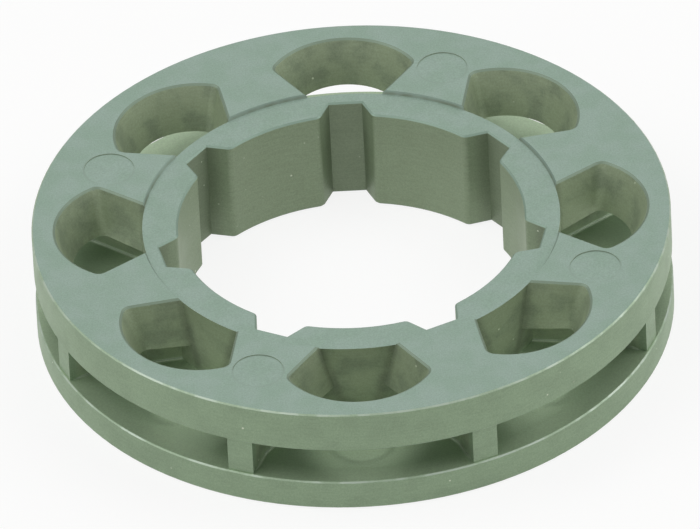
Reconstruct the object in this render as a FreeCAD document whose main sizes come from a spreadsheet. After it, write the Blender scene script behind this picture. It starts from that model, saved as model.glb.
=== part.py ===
import FreeCAD, Part
import math
import os
import Sketcher
from FreeCAD import Placement, Rotation, Vector

doc = FreeCAD.newDocument("rim_sprocket")

# Driving dimensions, in millimetres and degrees
driving = {
    "outer_diameter": 36.4,
    "thickness": 6.65,
    "upper_flange": 2.55,
    "lower_flange": 1.85,
    "channel_draft": 4,
    "rim_width": 1.3,
    "rim_break": 0.08,
    "bore_diameter": 19.75,
    "hub_wall": 0.85,
    "hub_recess": 0.2,
    "hub_step": 0.12,
    "groove_count": 7,
    "groove_depth": 1.175,
    "groove_floor_width": 1.9,
    "groove_flank": 24,
    "groove_round": 0.45,
    "bay_count": 8,
    "window_inner_width": 4.65,
    "window_flare": 35,
    "window_arc": 4.55,
    "window_corner": 0.55,
    "window_side_taper": 13.5,
    "window_outer_taper": 19.5,
    "post_width": 1.5,
    "post_depth": 2,
    "post_setback": 0.15,
    "tooth_flare": 18,
    "mark_count": 4,
    "mark_circle": 29.6,
    "mark_diameter": 2.9,
    "mark_depth": 0.04,
    "edge_break": 0.1,
}
sizes = doc.addObject("Spreadsheet::Sheet", "Sizes")
for row, (alias, value) in enumerate(driving.items(), start=1):
    sizes.set(f"A{row}", alias)
    sizes.set(f"B{row}", str(value))
    sizes.setAlias(f"B{row}", alias)
doc.recompute()


def tangent(degrees):
    return math.tan(math.radians(degrees))


# Shared radii and heights: the formula that binds a sketch, and its value for drawing it
rim = ("(Sizes.outer_diameter / 2)", sizes.outer_diameter / 2)
lip = (f"({rim[0]} - Sizes.rim_width)", rim[1] - sizes.rim_width)
bore = ("(Sizes.bore_diameter / 2)", sizes.bore_diameter / 2)
groove_root = (f"({bore[0]} + Sizes.groove_depth)", bore[1] + sizes.groove_depth)
hub = (f"({groove_root[0]} + Sizes.hub_wall)", groove_root[1] + sizes.hub_wall)
hub_core = (f"({hub[0]} - Sizes.hub_wall / 2)", hub[1] - sizes.hub_wall / 2)
land = (f"({hub[0]} + Sizes.hub_step)", hub[1] + sizes.hub_step)
base = ("0", 0)
top = ("Sizes.thickness", sizes.thickness)
hub_top = ("(Sizes.thickness - Sizes.hub_recess)", sizes.thickness - sizes.hub_recess)
floor = ("Sizes.lower_flange", sizes.lower_flange)
ceiling = ("(Sizes.thickness - Sizes.upper_flange)", sizes.thickness - sizes.upper_flange)
draft_rise = (
    f"(({lip[0]} - {hub[0]}) * tan(Sizes.channel_draft * 1 deg))",
    (lip[1] - hub[1]) * tangent(sizes.channel_draft),
)
floor_at_hub = (f"({floor[0]} + {draft_rise[0]})", floor[1] + draft_rise[1])
ceiling_at_hub = (f"({ceiling[0]} - {draft_rise[0]})", ceiling[1] - draft_rise[1])
half_bay = "180 / Sizes.bay_count"

body = doc.addObject("PartDesign::Body", "rim_sprocket")
body.Label = "rim_sprocket"
datums = {datum.Role: datum for datum in body.Origin.OriginFeatures}
axis_index = -1
start_index, end_index, centre_index = 1, 2, 3


def new_sketch(name, plane, height="0", turn="0", turn_axis=Vector(0, 0, 1)):
    sketch = body.newObject("Sketcher::SketchObject", name)
    sketch.AttachmentSupport = [(datums[plane], "")]
    sketch.MapMode = "FlatFace"
    sketch.AttachmentOffset = Placement(Vector(0, 0, 0), Rotation(turn_axis, 1))
    sketch.setExpression(".AttachmentOffset.Base.z", f"({height}) * 1 mm")
    sketch.setExpression(".AttachmentOffset.Rotation.Angle", f"({turn}) * 1 deg")
    return sketch


def fix(sketch, kind, *elements):
    return sketch.addConstraint(Sketcher.Constraint(kind, *elements))


def bind(sketch, length, kind, *elements):
    formula, value = length
    index = fix(sketch, kind, *elements, value)
    sketch.setExpression(f"Constraints[{index}]", f"({formula}) * 1 mm")


def bind_angle(sketch, formula, degrees, line):
    index = fix(sketch, "Angle", line, math.radians(degrees))
    sketch.setExpression(f"Constraints[{index}]", f"({formula}) * 1 deg")


def draw_line(sketch, first, second):
    sketch.addGeometry(Part.LineSegment(Vector(*first, 0), Vector(*second, 0)), False)


def draw_arc(sketch, middle, radius, first_angle, last_angle):
    circle = Part.Circle(Vector(*middle, 0), Vector(0, 0, 1), radius)
    sketch.addGeometry(Part.ArcOfCircle(circle, first_angle, last_angle), False)


def join_ends(sketch, count):
    for index in range(count):
        fix(sketch, "Coincident", index, end_index, (index + 1) % count, start_index)


def repeat(feature, name, count):
    pattern = body.newObject("PartDesign::PolarPattern", name)
    pattern.Originals = [feature]
    pattern.Axis = (datums["Z_Axis"], [""])
    pattern.Angle = 360
    pattern.setExpression("Occurrences", count)
    body.Tip = pattern
    doc.recompute()


def soften(kind, name, size, chosen):
    solid = body.Tip
    edges = [f"Edge{index}" for index, edge in enumerate(solid.Shape.Edges, start=1) if chosen(edge)]
    softened = body.newObject(f"PartDesign::{kind}", name)
    softened.Base = (solid, edges)
    softened.setExpression("Radius" if kind == "Fillet" else "Size", f"{size} * 1 mm")
    doc.recompute()


# Ring turned about the bore axis: hub, two flanges, and the chain channel that opens outwards
section = new_sketch("RingSection", "XZ_Plane", "0", half_bay, Vector(0, 1, 0))
stations = [
    (bore, base), (rim, base), (rim, floor), (lip, floor), (hub, floor_at_hub), (hub, ceiling_at_hub),
    (lip, ceiling), (rim, ceiling), (rim, top), (land, top), (hub, hub_top), (bore, hub_top),
]
corners = [(across[1], up[1]) for across, up in stations]
for index, corner in enumerate(corners):
    draw_line(section, corner, corners[(index + 1) % len(corners)])
join_ends(section, len(corners))
for index, (across, up) in enumerate(stations):
    bind(section, across, "DistanceX", axis_index, start_index, index, start_index)
    if up is base:
        fix(section, "PointOnObject", index, start_index, axis_index)
    else:
        bind(section, up, "DistanceY", axis_index, start_index, index, start_index)
ring = body.newObject("PartDesign::Revolution", "Ring")
ring.Profile = section
ring.ReferenceAxis = (section, ["V_Axis"])
ring.Angle = 360
doc.recompute()

# Drive tooth under each land: a wedge that narrows outwards to a parallel post, just inside the rim
post = ("Sizes.post_width", sizes.post_width)
shoulder = (f"({rim[0]} - Sizes.post_depth)", rim[1] - sizes.post_depth)
post_face = (f"({rim[0]} - Sizes.post_setback)", rim[1] - sizes.post_setback)
half_post = post[1] / 2
half_foot = half_post + (shoulder[1] - hub_core[1]) * tangent(sizes.tooth_flare)
post_angle = math.asin(half_post / post_face[1])
post_end = post_face[1] * math.cos(post_angle)
tooth = new_sketch("ToothPlan", "XY_Plane", floor[0], half_bay)
draw_line(tooth, (hub_core[1], half_foot), (hub_core[1], -half_foot))
draw_line(tooth, (hub_core[1], -half_foot), (shoulder[1], -half_post))
draw_line(tooth, (shoulder[1], -half_post), (post_end, -half_post))
draw_arc(tooth, (0, 0), post_face[1], -post_angle, post_angle)
draw_line(tooth, (post_end, half_post), (shoulder[1], half_post))
draw_line(tooth, (shoulder[1], half_post), (hub_core[1], half_foot))
join_ends(tooth, 6)
fix(tooth, "Coincident", 3, centre_index, axis_index, start_index)
fix(tooth, "Symmetric", 0, start_index, 0, end_index, axis_index)
fix(tooth, "Symmetric", 1, end_index, 4, end_index, axis_index)
fix(tooth, "Symmetric", 3, start_index, 3, end_index, axis_index)
fix(tooth, "Horizontal", 2)
bind(tooth, post_face, "Radius", 3)
bind(tooth, post, "DistanceY", 1, end_index, 4, end_index)
bind(tooth, shoulder, "DistanceX", axis_index, start_index, 1, end_index)
bind(tooth, hub_core, "DistanceX", axis_index, start_index, 0, start_index)
bind_angle(tooth, "Sizes.tooth_flare", sizes.tooth_flare, 1)
tooth_pad = body.newObject("PartDesign::Pad", "Tooth")
tooth_pad.Profile = tooth
tooth_pad.setExpression("Length", f"({ceiling[0]} - {floor[0]}) * 1 mm")
doc.recompute()
repeat(tooth_pad, "Teeth", "Sizes.bay_count")

# Window through the upper flange of each bay: lofted from the top face to a smaller outline below
slope = tangent(sizes.window_flare)
window_depth = (f"({top[0]} - {ceiling_at_hub[0]})", top[1] - ceiling_at_hub[1])
arc_middle = (f"({lip[0]} - Sizes.window_arc)", lip[1] - sizes.window_arc)
upper_arc = ("Sizes.window_arc", sizes.window_arc)
lower_arc = (
    f"({upper_arc[0]} - {window_depth[0]} * tan(Sizes.window_outer_taper * 1 deg))",
    upper_arc[1] - window_depth[1] * tangent(sizes.window_outer_taper),
)
upper_end = (
    "(Sizes.window_inner_width / 2 - Sizes.hub_wall / 2 * tan(Sizes.window_flare * 1 deg))",
    sizes.window_inner_width / 2 - sizes.hub_wall / 2 * slope,
)
side_inset = (
    f"({window_depth[0]} * tan(Sizes.window_side_taper * 1 deg) / cos(Sizes.window_flare * 1 deg))",
    window_depth[1] * tangent(sizes.window_side_taper) * math.hypot(1, slope),
)
lower_end = (f"({upper_end[0]} - {side_inset[0]})", upper_end[1] - side_inset[1])


def window_outline(name, height, half_end, arc_radius):
    # the side line meets the outer arc at the tip
    side_rise = half_end[1] + slope * (arc_middle[1] - hub_core[1])
    tip_root = math.sqrt(arc_radius[1] ** 2 * (1 + slope ** 2) - side_rise ** 2)
    tip_across = (tip_root - slope * side_rise) / (1 + slope ** 2)
    tip_up = side_rise + slope * tip_across
    tip_angle = math.atan2(tip_up, tip_across)
    tip = arc_middle[1] + tip_across
    outline = new_sketch(name, "XY_Plane", height[0])
    draw_line(outline, (hub_core[1], half_end[1]), (hub_core[1], -half_end[1]))
    draw_line(outline, (hub_core[1], -half_end[1]), (tip, -tip_up))
    draw_arc(outline, (arc_middle[1], 0), arc_radius[1], -tip_angle, tip_angle)
    draw_line(outline, (tip, tip_up), (hub_core[1], half_end[1]))
    join_ends(outline, 4)
    fix(outline, "PointOnObject", 2, centre_index, axis_index)
    fix(outline, "Symmetric", 0, start_index, 0, end_index, axis_index)
    fix(outline, "Symmetric", 2, start_index, 2, end_index, axis_index)
    bind(outline, arc_radius, "Radius", 2)
    bind(outline, arc_middle, "DistanceX", axis_index, start_index, 2, centre_index)
    bind(outline, hub_core, "DistanceX", axis_index, start_index, 0, start_index)
    bind(outline, half_end, "DistanceY", axis_index, start_index, 0, start_index)
    bind_angle(outline, "-Sizes.window_flare", -sizes.window_flare, 1)
    return outline


upper_outline = window_outline("WindowTop", top, upper_end, upper_arc)
lower_outline = window_outline("WindowBottom", ceiling_at_hub, lower_end, lower_arc)
window_cut = body.newObject("PartDesign::SubtractiveLoft", "Window")
window_cut.Profile = upper_outline
window_cut.Sections = [lower_outline]
window_cut.Ruled = True
before_windows = body.Shape.Volume
doc.recompute()
repeat(window_cut, "Windows", "Sizes.bay_count")
after_windows = body.Shape.Volume

# Plain hub wall, standing upright across the windows
hub_ring = new_sketch("HubRing", "XY_Plane")
for index, radius in enumerate((hub, bore)):
    hub_ring.addGeometry(Part.Circle(Vector(0, 0, 0), Vector(0, 0, 1), radius[1]), False)
    fix(hub_ring, "Coincident", index, centre_index, axis_index, start_index)
    bind(hub_ring, radius, "Radius", index)
hub_pad = body.newObject("PartDesign::Pad", "Hub")
hub_pad.Profile = hub_ring
hub_pad.setExpression("Length", f"{hub_top[0]} * 1 mm")
doc.recompute()

# Spline groove through the bore, its flanks opening towards the axis
groove_start = (f"({bore[0]} - Sizes.groove_depth)", bore[1] - sizes.groove_depth)
groove_floor = ("Sizes.groove_floor_width", sizes.groove_floor_width)
half_floor = groove_floor[1] / 2
half_mouth = half_floor + (groove_root[1] - groove_start[1]) * tangent(sizes.groove_flank)
groove = new_sketch("GroovePlan", "XY_Plane", "0", "90")
draw_line(groove, (groove_start[1], half_mouth), (groove_start[1], -half_mouth))
draw_line(groove, (groove_start[1], -half_mouth), (groove_root[1], -half_floor))
draw_line(groove, (groove_root[1], -half_floor), (groove_root[1], half_floor))
draw_line(groove, (groove_root[1], half_floor), (groove_start[1], half_mouth))
join_ends(groove, 4)
fix(groove, "Symmetric", 0, start_index, 0, end_index, axis_index)
fix(groove, "Symmetric", 2, start_index, 2, end_index, axis_index)
bind(groove, groove_root, "DistanceX", axis_index, start_index, 2, start_index)
bind(groove, groove_start, "DistanceX", axis_index, start_index, 0, start_index)
bind(groove, groove_floor, "DistanceY", 2, start_index, 2, end_index)
bind_angle(groove, "Sizes.groove_flank", sizes.groove_flank, 1)
groove_cut = body.newObject("PartDesign::Pocket", "Groove")
groove_cut.Profile = groove
groove_cut.Type = "ThroughAll"
groove_cut.Reversed = True
before_grooves = body.Shape.Volume
doc.recompute()
repeat(groove_cut, "Grooves", "Sizes.groove_count")
after_grooves = body.Shape.Volume

# Shallow round marks on the lands
mark_middle = ("(Sizes.mark_circle / 2)", sizes.mark_circle / 2)
mark_radius = ("(Sizes.mark_diameter / 2)", sizes.mark_diameter / 2)
mark = new_sketch("MarkPlan", "XY_Plane", top[0], f"90 - {half_bay}")
mark.addGeometry(Part.Circle(Vector(mark_middle[1], 0, 0), Vector(0, 0, 1), mark_radius[1]), False)
fix(mark, "PointOnObject", 0, centre_index, axis_index)
bind(mark, mark_middle, "DistanceX", axis_index, start_index, 0, centre_index)
bind(mark, mark_radius, "Radius", 0)
mark_cut = body.newObject("PartDesign::Pocket", "Mark")
mark_cut.Profile = mark
mark_cut.setExpression("Length", "Sizes.mark_depth * 1 mm")
before_marks = body.Shape.Volume
doc.recompute()
repeat(mark_cut, "Marks", "Sizes.mark_count")
after_marks = body.Shape.Volume

# Softened edges, found by where their ends lie
nearness = 1e-4


def radius_of(vertex):
    return math.hypot(vertex.X, vertex.Y)


def height_of(vertex):
    return vertex.Z


def ends_at(edge, measure, value):
    return all(abs(measure(vertex) - value) < nearness for vertex in edge.Vertexes)


def furthest(edge):
    return max(radius_of(vertex) for vertex in edge.Vertexes)


def is_upright(edge):
    first, last = edge.Vertexes[0], edge.Vertexes[-1]
    return abs(first.Z - last.Z) > nearness and math.hypot(first.X - last.X, first.Y - last.Y) < nearness


def is_window_tip(edge):
    first, last = edge.Vertexes[0], edge.Vertexes[-1]
    leans = abs(first.Z - last.Z) > sizes.upper_flange / 2 and not is_upright(edge)
    return leans and min(radius_of(first), radius_of(last)) > hub[1] + sizes.window_corner


def is_groove_mouth(edge):
    return is_upright(edge) and ends_at(edge, radius_of, bore[1])


def is_rim_edge(edge):
    return ends_at(edge, radius_of, rim[1]) and not is_upright(edge)


def is_mark_edge(edge):
    return len(edge.Vertexes) == 1 and abs(furthest(edge) - mark_middle[1]) <= mark_radius[1] + nearness


def is_land_edge(edge):
    on_land = furthest(edge) < lip[1] + nearness and ends_at(edge, height_of, top[1])
    return on_land and not is_mark_edge(edge) and not ends_at(edge, radius_of, land[1])


def is_bore_edge(edge):
    on_end = ends_at(edge, height_of, hub_top[1]) or ends_at(edge, height_of, base[1])
    return on_end and furthest(edge) < hub[1] - sizes.hub_wall / 2


soften("Fillet", "WindowCorners", "Sizes.window_corner", is_window_tip)
soften("Fillet", "GrooveMouths", "Sizes.groove_round", is_groove_mouth)
soften("Chamfer", "RimEdges", "Sizes.rim_break", is_rim_edge)
soften("Chamfer", "LandEdges", "Sizes.edge_break", is_land_edge)
soften("Chamfer", "BoreEdges", "Sizes.edge_break", is_bore_edge)

# Nothing is written unless every feature came out whole
for item in doc.Objects:
    if "Invalid" in item.State or "Error" in item.State:
        raise RuntimeError(f"{item.Name} is {item.State}")
if body.Shape.isNull() or not body.Shape.isValid() or len(body.Shape.Solids) != 1:
    raise RuntimeError("the sprocket is not one valid solid")
cuts = [(before_windows, after_windows), (before_grooves, after_grooves), (before_marks, after_marks)]
if not all(after < before for before, after in cuts):
    raise RuntimeError("a window, a groove or a mark cut nothing")

os.makedirs("parts", exist_ok=True)
body.Shape.exportStep(f"parts/{body.Label}.step")
print(f"{body.Label}: {body.Shape.Volume:.1f} cubic mm")
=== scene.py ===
import math
import bmesh
import bpy
import numpy as np
from mathutils import Matrix, Vector


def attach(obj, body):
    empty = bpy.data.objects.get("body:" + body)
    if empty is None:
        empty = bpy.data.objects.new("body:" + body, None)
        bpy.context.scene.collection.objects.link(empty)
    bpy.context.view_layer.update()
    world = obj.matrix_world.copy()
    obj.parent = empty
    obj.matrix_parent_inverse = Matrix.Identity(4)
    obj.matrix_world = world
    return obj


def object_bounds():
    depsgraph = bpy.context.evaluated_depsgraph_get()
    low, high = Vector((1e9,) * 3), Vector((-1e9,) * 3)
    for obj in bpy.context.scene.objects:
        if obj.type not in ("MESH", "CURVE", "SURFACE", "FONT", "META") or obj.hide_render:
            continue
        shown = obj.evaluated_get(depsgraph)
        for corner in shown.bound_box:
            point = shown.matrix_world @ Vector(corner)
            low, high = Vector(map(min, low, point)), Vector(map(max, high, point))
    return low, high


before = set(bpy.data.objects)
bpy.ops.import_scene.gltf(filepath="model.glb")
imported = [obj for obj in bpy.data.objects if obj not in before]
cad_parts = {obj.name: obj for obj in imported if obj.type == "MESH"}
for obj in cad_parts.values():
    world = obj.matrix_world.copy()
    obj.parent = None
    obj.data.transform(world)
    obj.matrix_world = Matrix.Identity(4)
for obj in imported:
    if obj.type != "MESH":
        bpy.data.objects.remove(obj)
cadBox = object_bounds()
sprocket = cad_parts["rim_sprocket"]
print("frame loaded:", len(sprocket.data.polygons), "faces on the sprocket")

millimetre = 0.001

# sizes of the casting that the added detail sits on, in millimetres and degrees
casting = {
    "bays": 8,
    "hubRadius": 11.9,
    "lipRadius": 16.9,
    "floorHeight": 1.85,
    "floorDraft": 4.0,
    "shoulderRadius": 16.2,
    "postHalfWidth": 0.75,
    "toothFlare": 18.0,
}


def addNode(tree, kind, **settings):
    # a node with its plain properties set
    node = tree.nodes.new(kind)
    for name, value in settings.items():
        setattr(node, name, value)
    return node


def feed(tree, source, target):
    # a link from one socket to another, or a constant put straight on the socket
    if isinstance(source, bpy.types.NodeSocket):
        tree.links.new(source, target)
    else:
        target.default_value = source


def mathNode(tree, operation, *values, clamp=False):
    node = addNode(tree, "ShaderNodeMath", operation=operation, use_clamp=clamp)
    for index, value in enumerate(values):
        feed(tree, value, node.inputs[index])
    return node.outputs[0]


def product(tree, first, *others):
    # all the values multiplied together
    for value in others:
        first = mathNode(tree, "MULTIPLY", first, value)
    return first


def ramp(tree, value, low, high, first=0.0, last=1.0):
    # goes smoothly from first to last while the value goes from low to high
    node = addNode(tree, "ShaderNodeMapRange", interpolation_type="SMOOTHSTEP")
    feed(tree, value, node.inputs["Value"])
    for label, number in zip(("From Min", "From Max", "To Min", "To Max"), (low, high, first, last)):
        node.inputs[label].default_value = number
    return node.outputs["Result"]


def mixColour(tree, factor, first, second, blend="MIX"):
    # the node's colour sockets are inputs 6 and 7 and output 2
    node = addNode(tree, "ShaderNodeMix", data_type="RGBA", blend_type=blend)
    feed(tree, factor, node.inputs["Factor"])
    feed(tree, first, node.inputs[6])
    feed(tree, second, node.inputs[7])
    return node.outputs[2]


def noise(tree, vector, scale, detail, roughness):
    node = addNode(tree, "ShaderNodeTexNoise")
    feed(tree, vector, node.inputs["Vector"])
    feed(tree, scale, node.inputs["Scale"])
    feed(tree, detail, node.inputs["Detail"])
    feed(tree, roughness, node.inputs["Roughness"])
    return node.outputs["Fac"]


def planLength(tree, x, y):
    # length of the level vector with these two parts
    joined = addNode(tree, "ShaderNodeCombineXYZ")
    feed(tree, x, joined.inputs["X"])
    feed(tree, y, joined.inputs["Y"])
    length = addNode(tree, "ShaderNodeVectorMath", operation="LENGTH")
    feed(tree, joined.outputs[0], length.inputs[0])
    return length.outputs["Value"]


def newGroup(name, inputs, outputs):
    # inputs are (name, socket type, default) and outputs are (name, socket type)
    tree = bpy.data.node_groups.new(name, "ShaderNodeTree")
    for label, kind, value in inputs:
        socket = tree.interface.new_socket(name=label, in_out="INPUT", socket_type=kind)
        if value is not None:
            socket.default_value = value
    for label, kind in outputs:
        tree.interface.new_socket(name=label, in_out="OUTPUT", socket_type=kind)
    return tree, tree.nodes.new("NodeGroupInput"), tree.nodes.new("NodeGroupOutput")


castGrain = {
    "defaultSize": 0.1 * millimetre,
    # name: (scale as a share of the grain's, detail, roughness)
    "noises": {
        "Grain": (1.0, 3.0, 0.6),
        "Patches": (0.055, 4.0, 0.55),
        "Streaks": (0.7, 2.0, 0.5),
    },
    "streakStretch": (0.12, 0.12, 1.0),
    "speckScale": 0.11,             # of the cells that hold the specks, as a share of the grain's
    "speckCells": (0.72, 0.80),     # a cell has a speck if its random number is past these limits
    "speckEdge": (0.10, 0.05),      # from the edge of a speck inwards, as a share of its cell
}


def castGrainGroup(look):
    # cast skin: fine grain, broad patches, flat-lying streaks, and sparse bright specks used as painted
    # glints
    tree, source, result = newGroup(
        "castGrain",
        [("Vector", "NodeSocketVector", None), ("Grain Size", "NodeSocketFloat", look["defaultSize"])],
        [(label, "NodeSocketFloat") for label in (*look["noises"], "Specks")],
    )
    place = source.outputs["Vector"]
    scale = mathNode(tree, "DIVIDE", 1.0, source.outputs["Grain Size"])
    flatten = addNode(tree, "ShaderNodeMapping")
    feed(tree, place, flatten.inputs["Vector"])
    feed(tree, look["streakStretch"], flatten.inputs["Scale"])
    for label, (share, detail, roughness) in look["noises"].items():
        vector = flatten.outputs["Vector"] if label == "Streaks" else place
        value = noise(tree, vector, product(tree, scale, share), detail, roughness)
        feed(tree, value, result.inputs[label])
    cells = addNode(tree, "ShaderNodeTexVoronoi")
    feed(tree, place, cells.inputs["Vector"])
    feed(tree, product(tree, scale, look["speckScale"]), cells.inputs["Scale"])
    picked = addNode(tree, "ShaderNodeSeparateColor")
    feed(tree, cells.outputs["Color"], picked.inputs["Color"])
    chosen = ramp(tree, picked.outputs["Red"], *look["speckCells"])
    specks = product(tree, ramp(tree, cells.outputs["Distance"], *look["speckEdge"]), chosen)
    feed(tree, specks, result.inputs["Specks"])
    return tree


landMarks = {
    "count": 4,
    "firstAngle": 67.5,
    "circleRadius": 14.8,
    "radius": 1.45,
    "lineWidth": 0.10,
    "lineCore": 0.2,    # share of the line that has its full colour
}


def markRing(tree, place, look):
    # 1 on a thin line round each mark: how near the distance to the nearest mark's centre is to its radius
    nearest = None
    reach = look["circleRadius"] * millimetre
    for index in range(look["count"]):
        angle = math.radians(look["firstAngle"] + 360.0 * index / look["count"])
        away = addNode(tree, "ShaderNodeVectorMath", operation="DISTANCE")
        feed(tree, place, away.inputs[0])
        feed(tree, (reach * math.cos(angle), reach * math.sin(angle), cadBox[1][2]), away.inputs[1])
        gap = away.outputs["Value"]
        nearest = gap if nearest is None else mathNode(tree, "MINIMUM", nearest, gap)
    offLine = mathNode(tree, "ABSOLUTE", mathNode(tree, "SUBTRACT", nearest, look["radius"] * millimetre))
    width = look["lineWidth"] * millimetre
    return ramp(tree, offLine, width, look["lineCore"] * width)


windowCorners = {
    "across": 2.15,     # from the window's middle line to where its side meets the hub, at that height
    "height": 6.5,
    "taper": 0.293,     # how much nearer the middle line for each millimetre further down
    "reach": 0.55,
    "core": 0.1,        # share of the reach that has the full painted shade
}


def cornerShade(tree, spot, radius, look):
    # 1 in the upright corners between the hub and the window sides, where shade is painted: the bearing is
    # folded about the middle of the nearest window, and the distance to the corner is taken in plan at the
    # point's own height
    bearing = mathNode(tree, "ARCTAN2", spot.outputs["Y"], spot.outputs["X"])
    folded = mathNode(tree, "PINGPONG", bearing, math.pi / casting["bays"])
    across = product(tree, radius, mathNode(tree, "SINE", folded))
    below = mathNode(tree, "SUBTRACT", look["height"] * millimetre, spot.outputs["Z"])
    inwards = product(tree, below, look["taper"])
    corner = mathNode(tree, "SUBTRACT", look["across"] * millimetre, inwards)
    distance = planLength(
        tree,
        mathNode(tree, "SUBTRACT", across, corner),
        mathNode(tree, "SUBTRACT", radius, casting["hubRadius"] * millimetre),
    )
    reach = look["reach"] * millimetre
    return ramp(tree, distance, reach, look["core"] * reach)


castSteel = {
    "faceColour": (0.240, 0.325, 0.275, 1.0),       # level faces: lands and hub, in a cooler tint than the walls, painted for the light from above
    "facePatchColour": (0.226, 0.318, 0.256, 1.0),  # patches on them, and the edges of the bore
    "rimColour": (0.298, 0.405, 0.268, 1.0),        # upright walls: outside, bore, windows, in an olive tint painted for the light they get
    "boreColour": (0.285, 0.360, 0.240, 1.0),
    # window walls are paler than the bore and outside walls: painted light that the lamps don't bring into
    # the windows
    "windowColour": (0.372, 0.445, 0.305, 1.0),
    "channelColour": (0.352, 0.465, 0.305, 1.0),    # floor between the flanges, paler than the lands: painted light
    "lipColour": (0.378, 0.490, 0.330, 1.0),        # its outer margin, paler still, and the feet of the walls on it: painted light
    "rimHighlightColour": (0.43, 0.51, 0.43, 1.0),        # painted highlight on the rim's edges
    "edgeShadeColour": (0.168, 0.228, 0.168, 1.0),       # painted shade on the edges of the windows
    "stepColour": (0.165, 0.210, 0.155, 1.0),       # painted shade along the hub step, and the colour of the random mottling on the walls
    "paintedShadeColour": (0.100, 0.115, 0.085, 1.0),      # painted shade in the spline grooves and window corners
    "markColour": (0.220, 0.296, 0.247, 1.0),       # line round the marks on the lands
    # colour of the painted glints
    "speckColour": (0.70, 0.76, 0.62, 1.0),
    "grooveShade": 0.30,
    "cornerShade": 0.33,
    "footShare": 0.6,
    "mottleShare": 0.45,
    "rimMottleLoss": 0.7,       # share of the mottling that the outside wall lacks
    "metallic": 0.4,
    "roughness": 0.5,
    "wearGloss": 0.12,          # taken off the roughness of a rubbed edge
    "grainSize": 0.09 * millimetre,
    "bumpDistance": 0.01 * millimetre,
    "bumpStrength": 0.5,
    "streakBump": 0.3,          # height of the streaks beside that of the grain
    # a mask goes from 0 to 1 between these limits: of the radius and the height, in millimetres,
    # and of the slant, which is 0 on an upright surface and 1 on a level one
    "radii": {
        "grooves": (10.2, 10.9),
        "windows": (11.15, 11.45),
        "lip": (16.85, 17.3),
        "rim": (17.3, 17.8),
    },
    "heights": {
        "channelBottom": (0.8, 1.2),
        "channelTop": (3.2, 2.8),
        "wallFoot": (2.7, 2.2),
        "windowEdge": (5.8, 6.2),
        "stepFoot": (6.64, 6.50),
    },
    "slants": {
        "wall": (0.5, 0.4),
        "stepFrom": (0.42, 0.47),
        "stepTo": (0.60, 0.55),
        "edgeFrom": (0.62, 0.68),
        "edgeTo": (0.91, 0.86),
        "face": (0.90, 0.96),
    },
    # limits of a noise, and what the mask or shade is at each
    "patches": {
        "faces": (0.35, 0.65, 0.0, 1.0),
        "mottle": (0.42, 0.66, 0.0, 1.0),
        "step": (0.40, 0.60, 0.45, 1.0),
        "markLine": (0.38, 0.58, 0.25, 1.0),
        "wearAndHighlight": (0.42, 0.58, 0.85, 0.15),
        "roughness": (0.3, 0.7, 0.94, 1.06),
    },
    "streakShade": (0.3, 0.7, 0.97, 1.03),
    "grainShade": (0.25, 0.75, 0.90, 1.10),
}


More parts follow.
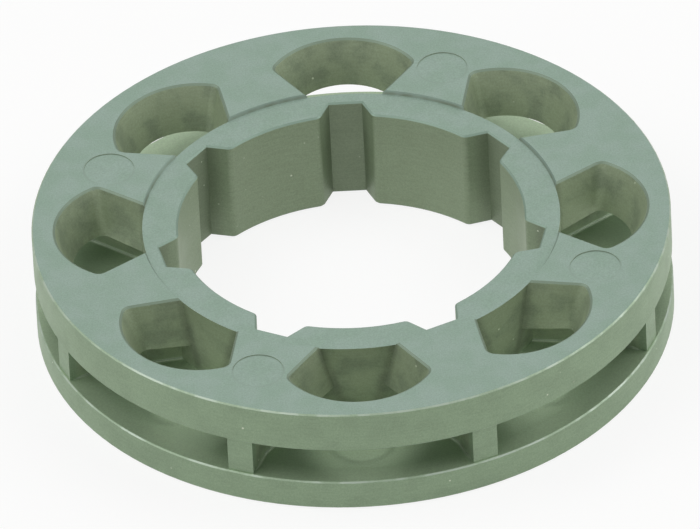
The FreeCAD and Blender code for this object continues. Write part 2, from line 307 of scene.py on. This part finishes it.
def castSteelMaterial(look):
    material = bpy.data.materials.new("castSteel")
    material.use_nodes = True
    tree = material.node_tree
    shader = tree.nodes["Principled BSDF"]
    coordinates = addNode(tree, "ShaderNodeTexCoord")
    place = coordinates.outputs["Object"]
    grain = addNode(tree, "ShaderNodeGroup", node_tree=castGrainGroup(castGrain))
    feed(tree, place, grain.inputs["Vector"])
    feed(tree, look["grainSize"], grain.inputs["Grain Size"])

    # how level the surface lies, and how far it is from the axis
    facing = addNode(tree, "ShaderNodeSeparateXYZ")
    feed(tree, coordinates.outputs["Normal"], facing.inputs[0])
    level = mathNode(tree, "ABSOLUTE", facing.outputs["Z"])
    spot = addNode(tree, "ShaderNodeSeparateXYZ")
    feed(tree, place, spot.inputs[0])
    radius = planLength(tree, spot.outputs["X"], spot.outputs["Y"])

    def byRadius(name):
        low, high = look["radii"][name]
        return ramp(tree, radius, low * millimetre, high * millimetre)

    def byHeight(name):
        low, high = look["heights"][name]
        return ramp(tree, spot.outputs["Z"], low * millimetre, high * millimetre)

    def bySlant(name):
        return ramp(tree, level, *look["slants"][name])

    def byPatches(name):
        return ramp(tree, grain.outputs["Patches"], *look["patches"][name])

    window = byRadius("windows")
    rim = byRadius("rim")
    inBore = mathNode(tree, "SUBTRACT", 1.0, window)
    between = mathNode(tree, "SUBTRACT", window, rim, clamp=True)

    # level faces, and the channel floor and its margin, which are paler as painted light
    faces = mixColour(tree, byPatches("faces"), look["faceColour"], look["facePatchColour"])
    channel = mixColour(tree, byRadius("lip"), look["channelColour"], look["lipColour"])
    inChannel = product(tree, byHeight("channelBottom"), byHeight("channelTop"))
    faces = mixColour(tree, inChannel, faces, channel)

    # the three kinds of wall, with feet painted pale as if lit, random mottling, painted shade in the grooves
    # and corners, and streaks
    walls = mixColour(tree, window, look["boreColour"], look["windowColour"])
    walls = mixColour(tree, rim, walls, look["rimColour"])
    # painted light: the feet of the walls standing on the channel floor take the pale lip colour
    foot = product(tree, between, byHeight("wallFoot"), look["footShare"])
    walls = mixColour(tree, foot, walls, look["lipColour"])
    mottle = mathNode(tree, "SUBTRACT", window, product(tree, rim, look["rimMottleLoss"]))
    mottle = product(tree, byPatches("mottle"), mottle, look["mottleShare"])
    walls = mixColour(tree, mottle, walls, look["stepColour"])
    # painted shade in the spline grooves and in the corners between the hub and the window sides
    grooves = product(tree, byRadius("grooves"), inBore, look["grooveShade"])
    corners = product(tree, cornerShade(tree, spot, radius, windowCorners), look["cornerShade"])
    walls = mixColour(tree, mathNode(tree, "MAXIMUM", grooves, corners), walls, look["paintedShadeColour"])
    streaks = ramp(tree, grain.outputs["Streaks"], *look["streakShade"])
    walls = mixColour(tree, 1.0, walls, streaks, "MULTIPLY")
    # level faces take the face colours and walls take the wall colours: a painted difference in tint for how
    # light falls on them
    flat = bySlant("face")
    colour = mixColour(tree, flat, walls, faces)
    shade = ramp(tree, grain.outputs["Grain"], *look["grainShade"])
    colour = mixColour(tree, 1.0, colour, shade, "MULTIPLY")

    # painted shade low on the sloped hub step, and a line round the marks
    slope = product(tree, bySlant("stepFrom"), bySlant("stepTo"))
    low = product(tree, byHeight("stepFoot"), byPatches("step"))
    colour = mixColour(tree, slope, colour, mixColour(tree, low, look["faceColour"], look["stepColour"]))
    ring = product(tree, markRing(tree, place, landMarks), flat, byPatches("markLine"))
    colour = mixColour(tree, ring, colour, look["markColour"])

    # edges: painted shade at the windows, plain at the bore, and at the rim a painted highlight with lower
    # roughness for wear
    edge = product(tree, bySlant("edgeFrom"), bySlant("edgeTo"))
    # painted shade on the chamfers round the windows
    edgeShade = product(tree, edge, between, byHeight("windowEdge"))
    colour = mixColour(tree, edgeShade, colour, look["edgeShadeColour"])
    mouth = product(tree, edge, inBore)
    colour = mixColour(tree, mouth, colour, look["facePatchColour"])
    # painted highlight along the rim's edges, broken up by patches; the same mask lowers the roughness
    wearAndHighlight = product(tree, edge, rim, byPatches("wearAndHighlight"))
    colour = mixColour(tree, wearAndHighlight, colour, look["rimHighlightColour"])

    # painted glints: bright specks on the walls only
    specks = product(tree, grain.outputs["Specks"], bySlant("wall"))
    colour = mixColour(tree, specks, colour, look["speckColour"])

    feed(tree, colour, shader.inputs["Base Color"])
    feed(tree, look["metallic"], shader.inputs["Metallic"])
    rough = product(tree, byPatches("roughness"), look["roughness"])
    rough = mathNode(tree, "SUBTRACT", rough, product(tree, wearAndHighlight, look["wearGloss"]))
    feed(tree, rough, shader.inputs["Roughness"])
    streakHeight = product(tree, grain.outputs["Streaks"], look["streakBump"])
    height = mathNode(tree, "ADD", grain.outputs["Grain"], streakHeight)
    bump = addNode(tree, "ShaderNodeBump")
    feed(tree, height, bump.inputs["Height"])
    feed(tree, look["bumpDistance"], bump.inputs["Distance"])
    feed(tree, look["bumpStrength"], bump.inputs["Strength"])
    feed(tree, bump.outputs["Normal"], shader.inputs["Normal"])
    return material


steel = castSteelMaterial(castSteel)
sprocket.data.materials.clear()
sprocket.data.materials.append(steel)
print("sprocket finished in cast steel")


def channelFloor(x, y):
    # height of the channel floor: level at the lip, then rising towards the hub at the draft angle
    rise = (casting["lipRadius"] - np.hypot(x, y)) * math.tan(math.radians(casting["floorDraft"]))
    return casting["floorHeight"] + np.maximum(rise, 0.0)


def turnedCopies(x, y, z, degrees):
    # the grid of points once for each angle, turned by it about the axis
    angle = np.radians(degrees)[:, None, None]
    turnedX = x * np.cos(angle) - y * np.sin(angle)
    turnedY = x * np.sin(angle) + y * np.cos(angle)
    return np.stack(np.broadcast_arrays(turnedX, turnedY, z), axis=-1)


def closedGrid(rows, columns, copies):
    # quads between neighbouring rows of a grid whose columns run round and meet, for each copy in turn
    first = np.arange(rows - 1)[:, None] * columns + np.arange(columns)[None, :]
    after = np.arange(rows - 1)[:, None] * columns + (np.arange(columns)[None, :] + 1) % columns
    faces = np.stack([first, after, after + columns, first + columns], axis=-1).reshape(-1, 4)
    return (faces[None] + np.arange(copies)[:, None, None] * rows * columns).reshape(-1, 4)


steelMesh = {
    "mergeDistance": 1e-7,
    "sharpAngle": 40.0,
}


def steelPiece(name, points, faces, look):
    # points in millimetres; poles and seams are merged, ends filled and the faces turned outwards
    mesh = bpy.data.meshes.new(name)
    mesh.from_pydata((points * millimetre).tolist(), [], faces.tolist())
    work = bmesh.new()
    work.from_mesh(mesh)
    bmesh.ops.remove_doubles(work, verts=work.verts, dist=look["mergeDistance"])
    bmesh.ops.holes_fill(work, edges=work.edges, sides=0)
    bmesh.ops.recalc_face_normals(work, faces=work.faces)
    work.to_mesh(mesh)
    work.free()
    mesh.polygons.foreach_set("use_smooth", np.ones(len(mesh.polygons), dtype=bool))
    mesh.set_sharp_from_angle(angle=math.radians(look["sharpAngle"]))
    mesh.materials.append(steel)
    piece = bpy.data.objects.new(name, mesh)
    bpy.context.scene.collection.objects.link(piece)
    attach(piece, "root")


floorPads = {
    "centreRadius": 14.75,
    "radius": 2.07,
    "height": 0.11,
    "edgeWidth": 0.60,
    "sunk": 0.05,
    "innerRing": 0.5,       # place of one ring on the level top, as a share of the radius
    "edgeRings": 8,
    "spokes": 72,
}


def makeFloorPads(look):
    # low round pads: a disc's section (level top, edge falling as half a cosine, sunk foot) swept round its
    # own centre, every point lifted by the height of the channel floor below it
    fall = np.linspace(0.0, 1.0, look["edgeRings"])
    edge = 1.0 - look["edgeWidth"] / look["radius"] * (1.0 - fall)
    out = np.concatenate([[0.0, look["innerRing"]], edge, [1.0, 0.0]])
    up = np.concatenate([
        [look["height"]] * 2,
        look["height"] * (0.5 + 0.5 * np.cos(np.pi * fall)),
        [-look["sunk"]] * 2,
    ])
    angle = np.linspace(0.0, 2.0 * np.pi, look["spokes"], endpoint=False)
    x = look["centreRadius"] + look["radius"] * out[:, None] * np.cos(angle)
    y = look["radius"] * out[:, None] * np.sin(angle)
    z = channelFloor(x, y) + up[:, None]
    bays = np.arange(casting["bays"]) * 360.0 / casting["bays"]
    points = turnedCopies(x, y, z, bays).reshape(-1, 3)
    steelPiece("floorPads", points, closedGrid(*x.shape, bays.size), steelMesh)


makeFloorPads(floorPads)
print("floor pads set")

toothFeet = {
    "radius": 0.20,
    "start": 11.6,      # inside the hub wall
    "end": 17.75,
    "fade": 0.5,        # length over which the fillet runs out
    "endShare": 0.08,   # share of the radius that is left at its end
    "bend": 0.2,        # length on either side of the tooth's shoulder in which the fillet turns
    "sunk": 0.05,
    "sections": 60,
    "arcPoints": 9,
}


def makeToothFeet(look):
    # hollow fillets where the teeth meet the channel floor: a quarter circle, closed behind in the metal,
    # carried along each tooth side and lifted by the height of the floor
    along = np.linspace(look["start"], look["end"], look["sections"])
    flare = math.radians(casting["toothFlare"])
    shoulder = casting["shoulderRadius"]
    side = casting["postHalfWidth"] + np.maximum(shoulder - along, 0.0) * math.tan(flare)
    lean = flare * np.clip((shoulder + look["bend"] - along) / (2.0 * look["bend"]), 0.0, 1.0)
    size = look["radius"] * np.clip((look["end"] - along) / look["fade"], look["endShare"], 1.0)
    turn = np.linspace(0.0, np.pi / 2, look["arcPoints"])
    outward = size[:, None] * (1.0 - np.cos(turn))
    upward = size[:, None] * (1.0 - np.sin(turn))
    behind = np.full((along.size, 1), -look["sunk"])
    outward = np.concatenate([outward, outward[:, -1:], behind, behind], axis=1)
    upward = np.concatenate([upward, behind, behind, upward[:, :1]], axis=1)
    x = along[:, None] + outward * np.sin(lean)[:, None]
    y = side[:, None] + outward * np.cos(lean)[:, None]
    z = channelFloor(x, y) + upward
    teeth = (np.arange(casting["bays"]) + 0.5) * 360.0 / casting["bays"]
    strips = [turnedCopies(x, sideSign * y, z, teeth) for sideSign in (1.0, -1.0)]
    points = np.concatenate(strips).reshape(-1, 3)
    steelPiece("toothFeet", points, closedGrid(*x.shape, 2 * teeth.size), steelMesh)


makeToothFeet(toothFeet)
print("tooth feet filleted")

floorLook = {
    "halfWidth": 3.0,
    "height": -0.02 * millimetre,     # just clear of the lower face
    "bounceColour": (0.85, 0.85, 0.82, 1.0),
    "shownColour": (0.18, 0.18, 0.18, 1.0),
    "shownGlow": (1.0, 1.0, 1.0, 1.0),
    "shownWhite": 0.84,
    "roughness": 0.9,
}


def pageMask(tree):
    # 1 for the camera, mirrors and glass, 0 for the light that reaches the part
    path = addNode(tree, "ShaderNodeLightPath")
    seen = mathNode(tree, "MAXIMUM", path.outputs["Is Camera Ray"], path.outputs["Is Glossy Ray"])
    return mathNode(tree, "MAXIMUM", seen, path.outputs["Is Transmission Ray"])


def makeFloor(look):
    # a flat square, one height over the whole grid
    across = np.linspace(-look["halfWidth"], look["halfWidth"], 2)
    x, y = np.meshgrid(across, across)
    points = np.stack([x.ravel(), y.ravel(), np.full(x.size, look["height"])], axis=1)
    mesh = bpy.data.meshes.new("floor")
    mesh.from_pydata(points.tolist(), [], [(0, 1, 3, 2)])
    floor = bpy.data.objects.new("floor", mesh)
    bpy.context.scene.collection.objects.link(floor)
    material = bpy.data.materials.new("paleFloor")
    material.use_nodes = True
    tree = material.node_tree
    shader = tree.nodes["Principled BSDF"]
    seen = pageMask(tree)
    feed(tree, mixColour(tree, seen, look["bounceColour"], look["shownColour"]), shader.inputs["Base Color"])
    feed(tree, look["roughness"], shader.inputs["Roughness"])
    feed(tree, 0.0, shader.inputs["Specular IOR Level"])
    feed(tree, look["shownGlow"], shader.inputs["Emission Color"])
    feed(tree, product(tree, seen, look["shownWhite"]), shader.inputs["Emission Strength"])
    mesh.materials.append(material)
    return floor


makeFloor(floorLook)
print("floor laid")

lightLook = {
    "worldColour": (1.0, 0.99, 0.90, 1.0),
    "worldStrength": 0.14,
    "pageColour": (1.0, 1.0, 1.0, 1.0),
    "pageStrength": 1.0,
    "lampColour": (1.0, 1.0, 1.0),
    "lampDistance": 0.50,
    # name: (azimuth, elevation, width, watts)
    "lamps": {
        "topLamp": (90, 88, 0.50, 0.42),
        "leftLamp": (177, 46, 0.30, 0.66),
        "rightLamp": (3, 47, 0.30, 0.50),
        "lowRightLamp": (6, 16, 0.30, 0.45),
        "backLamp": (90, 45, 0.30, 0.24),
        "frontLeftLamp": (228, 45, 0.30, 0.30),
    },
}


def onSphere(azimuth, elevation, distance):
    # a point at that bearing from +X and that height angle
    a, e = math.radians(azimuth), math.radians(elevation)
    return distance * Vector((math.cos(a) * math.cos(e), math.sin(a) * math.cos(e), math.sin(e)))


def lightScene(look):
    # lamps that face the origin, and a dim world that looks white where it is seen
    for name, (azimuth, elevation, width, watts) in look["lamps"].items():
        lamp = bpy.data.lights.new(name, "AREA")
        lamp.shape = "SQUARE"
        lamp.size = width
        lamp.energy = watts
        lamp.color = look["lampColour"]
        holder = bpy.data.objects.new(name, lamp)
        bpy.context.scene.collection.objects.link(holder)
        holder.location = onSphere(azimuth, elevation, look["lampDistance"])
        holder.rotation_euler = holder.location.to_track_quat("Z", "Y").to_euler()
        holder.visible_camera = False
    world = bpy.data.worlds.new("studio")
    bpy.context.scene.world = world
    world.use_nodes = True
    tree = world.node_tree
    sky = tree.nodes["Background"]
    feed(tree, look["worldColour"], sky.inputs["Color"])
    feed(tree, look["worldStrength"], sky.inputs["Strength"])
    page = addNode(tree, "ShaderNodeBackground")
    feed(tree, look["pageColour"], page.inputs["Color"])
    feed(tree, look["pageStrength"], page.inputs["Strength"])
    mix = addNode(tree, "ShaderNodeMixShader")
    feed(tree, pageMask(tree), mix.inputs[0])
    feed(tree, sky.outputs[0], mix.inputs[1])
    feed(tree, page.outputs[0], mix.inputs[2])
    feed(tree, mix.outputs[0], tree.nodes["World Output"].inputs["Surface"])


lightScene(lightLook)
print("lights hung")

cameraLook = {
    "elevation": 37.73,
    "roll": 2.898,
    "lens": 913.75,
    "sensorWidth": 36.0,
    "clip": (0.05, 20.0),
    "distance": 1010.6 * millimetre,
    "pivotHeight": 6.5 * millimetre,
    "pictureShift": (0.063 * millimetre, 2.563 * millimetre),   # of the pivot, right and up in the picture
}


def placeCamera(look):
    # looks along +Y and down; the picture's axes are then turned about the view line
    elevation, roll = math.radians(look["elevation"]), math.radians(look["roll"])
    back = Vector((0.0, -math.cos(elevation), math.sin(elevation)))
    right = Vector((1.0, 0.0, 0.0))
    up = back.cross(right)
    pictureRight = right * math.cos(roll) - up * math.sin(roll)
    pictureUp = right * math.sin(roll) + up * math.cos(roll)
    shiftRight, shiftUp = look["pictureShift"]
    place = Vector((0.0, 0.0, look["pivotHeight"])) + back * look["distance"]
    place -= pictureRight * shiftRight + pictureUp * shiftUp
    lens = bpy.data.cameras.new("camera")
    lens.sensor_fit = "HORIZONTAL"
    lens.sensor_width = look["sensorWidth"]
    lens.lens = look["lens"]
    lens.clip_start, lens.clip_end = look["clip"]
    camera = bpy.data.objects.new("camera", lens)
    bpy.context.scene.collection.objects.link(camera)
    axes = Matrix((pictureRight, pictureUp, back)).transposed().to_4x4()
    camera.matrix_world = Matrix.Translation(place) @ axes
    bpy.context.scene.camera = camera


placeCamera(cameraLook)
bpy.context.scene.view_settings.view_transform = "Standard"
print("camera placed")
